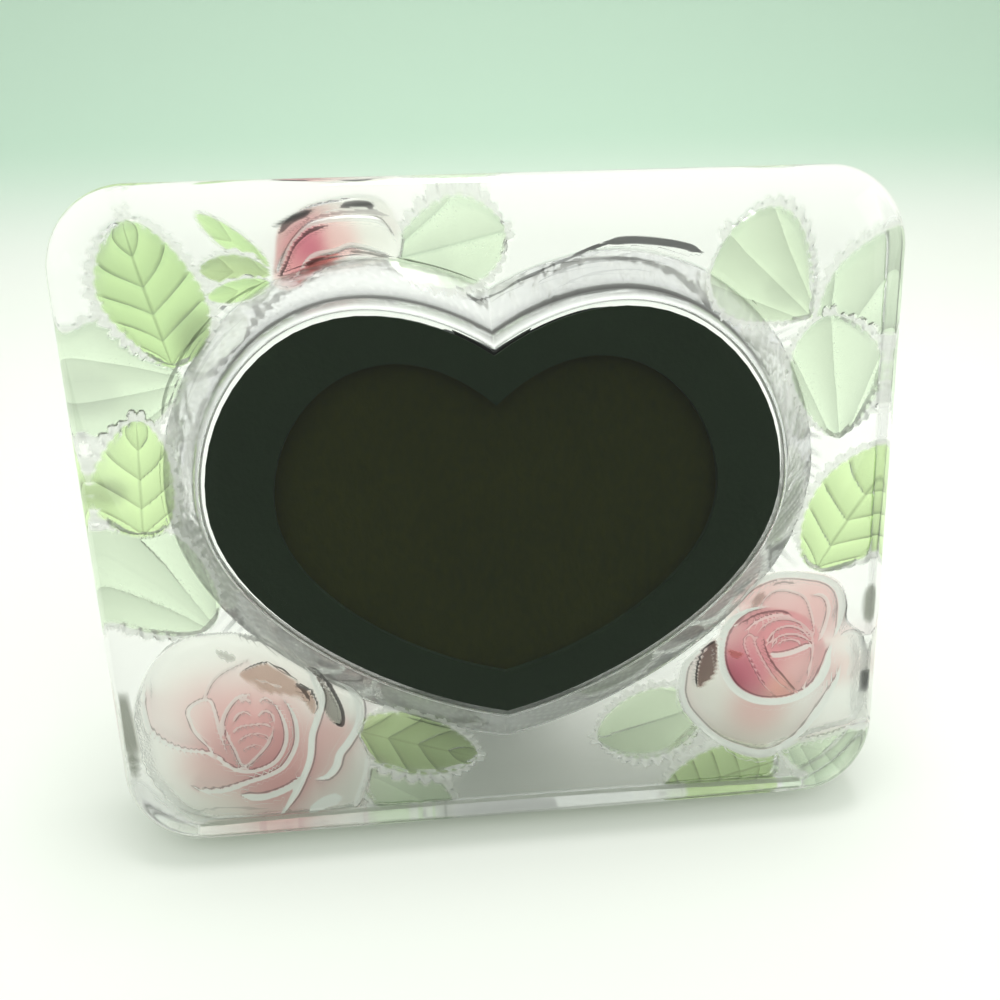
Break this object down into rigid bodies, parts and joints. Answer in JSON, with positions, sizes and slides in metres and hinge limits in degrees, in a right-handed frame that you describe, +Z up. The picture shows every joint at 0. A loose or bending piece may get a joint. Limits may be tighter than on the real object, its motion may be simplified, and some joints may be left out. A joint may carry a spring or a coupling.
{
  "type": "crystal picture frame",
  "caption": "Thick pressed crystal picture frame with a rose and leaf relief on its back, a heart-shaped pocket with a mat for a print, and a hinged easel strut to stand it on a table.",
  "frame": {"origin": "on the table, under the middle of the standing frame's bounding box", "axes": "+X to the right as the viewer sees it, +Y away from the viewer towards the strut, +Z up; the slab leans back by 15 degrees"},
  "size_m": [0.17, 0.0754, 0.1391],
  "materials": {
    "crystal": "polished clear front, satin-etched and tinted relief on the back",
    "mat_card": "matt near-black card",
    "hardboard": "matt brown hardboard",
    "foam": "dark open foam",
    "velvet": "black velvet over board",
    "flock": "grey flock over board",
    "felt": "black felt",
    "steel": "nickel-plated sheet steel"
  },
  "bodies": {
    "crystal": {"crystal_body": "crystal"},
    "insert": {"heart_mat": "mat_card", "backing_board": "hardboard", "filler_pad": "foam", "rear_board": "velvet", "notch_grip": "felt", "tip_grip_left": "felt", "tip_grip_right": "felt", "hinge_plate": "steel", "hinge_pin": "steel", "plate_rivet_1": "steel", "plate_rivet_2": "steel", "plate_rivet_3": "steel", "plate_rivet_4": "steel"},
    "strut": {"easel_strut": "flock", "strut_leaf": "steel", "strut_rivet_1": "steel", "strut_rivet_2": "steel", "strut_rivet_3": "steel"}
  },
  "joints": [
    {"name": "insert_pull", "type": "slide", "parent": "crystal", "child": "insert", "axis": [0, 0.9659, -0.2588], "range_m": [0, 0.03]},
    {"name": "strut_swing", "type": "hinge", "parent": "insert", "child": "strut", "pos_m": [0, 0.00967, 0.0872], "axis": [1, 0, 0], "range_deg": [-32, 0]}
  ]
}
